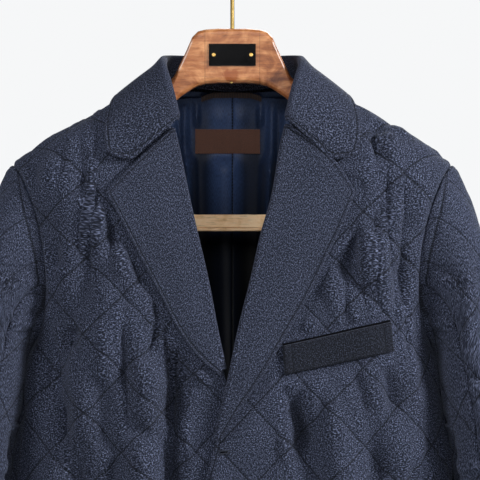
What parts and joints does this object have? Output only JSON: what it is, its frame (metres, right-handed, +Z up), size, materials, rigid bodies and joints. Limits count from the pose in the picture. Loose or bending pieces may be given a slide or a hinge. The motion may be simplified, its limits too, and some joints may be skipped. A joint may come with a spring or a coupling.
{
  "type": "quilted blazer on wooden hanger",
  "caption": "Diamond-quilted wool blazer with plain notched lapels, hanging on a shaped wooden hanger with a wire hook and a trouser bar.",
  "frame": {"origin": "the highest point inside the hanger's hook, where a rail carries it", "axes": "+Z up, +X the viewer's right when the jacket's front faces the viewer, -Y the jacket's front"},
  "size_m": [0.679, 0.1633, 0.8704],
  "materials": {
    "quilted_wool": "quilted melange flannel",
    "plain_wool": "melange flannel",
    "lining_satin": "satin",
    "brown_tape": "woven tape",
    "stained_wood": "stained, satin varnish",
    "pale_wood": "satin varnish",
    "brass": "polished",
    "black_gloss": "gloss",
    "horn": "polished horn"
  },
  "bodies": {
    "root": {"front_left": "quilted_wool", "front_right": "quilted_wool", "back_left": "quilted_wool", "back_right": "quilted_wool", "sleeve_left_top": "quilted_wool", "sleeve_right_top": "quilted_wool", "sleeve_left_under": "quilted_wool", "sleeve_right_under": "quilted_wool", "pocket_welt": "plain_wool", "lapel_left": "plain_wool", "lapel_right": "plain_wool", "collar": "plain_wool", "lining_back": "lining_satin", "label": "brown_tape", "hanging_loop": "brown_tape", "hanger_head": "stained_wood", "hanger_arm_left": "stained_wood", "hanger_arm_right": "stained_wood", "bar_post_left": "stained_wood", "bar_post_right": "stained_wood", "trouser_bar": "pale_wood", "plate": "black_gloss", "plate_screw_left": "brass", "plate_screw_right": "brass", "hook": "brass", "button_1": "horn", "button_2": "horn"}
  },
  "joints": []
}
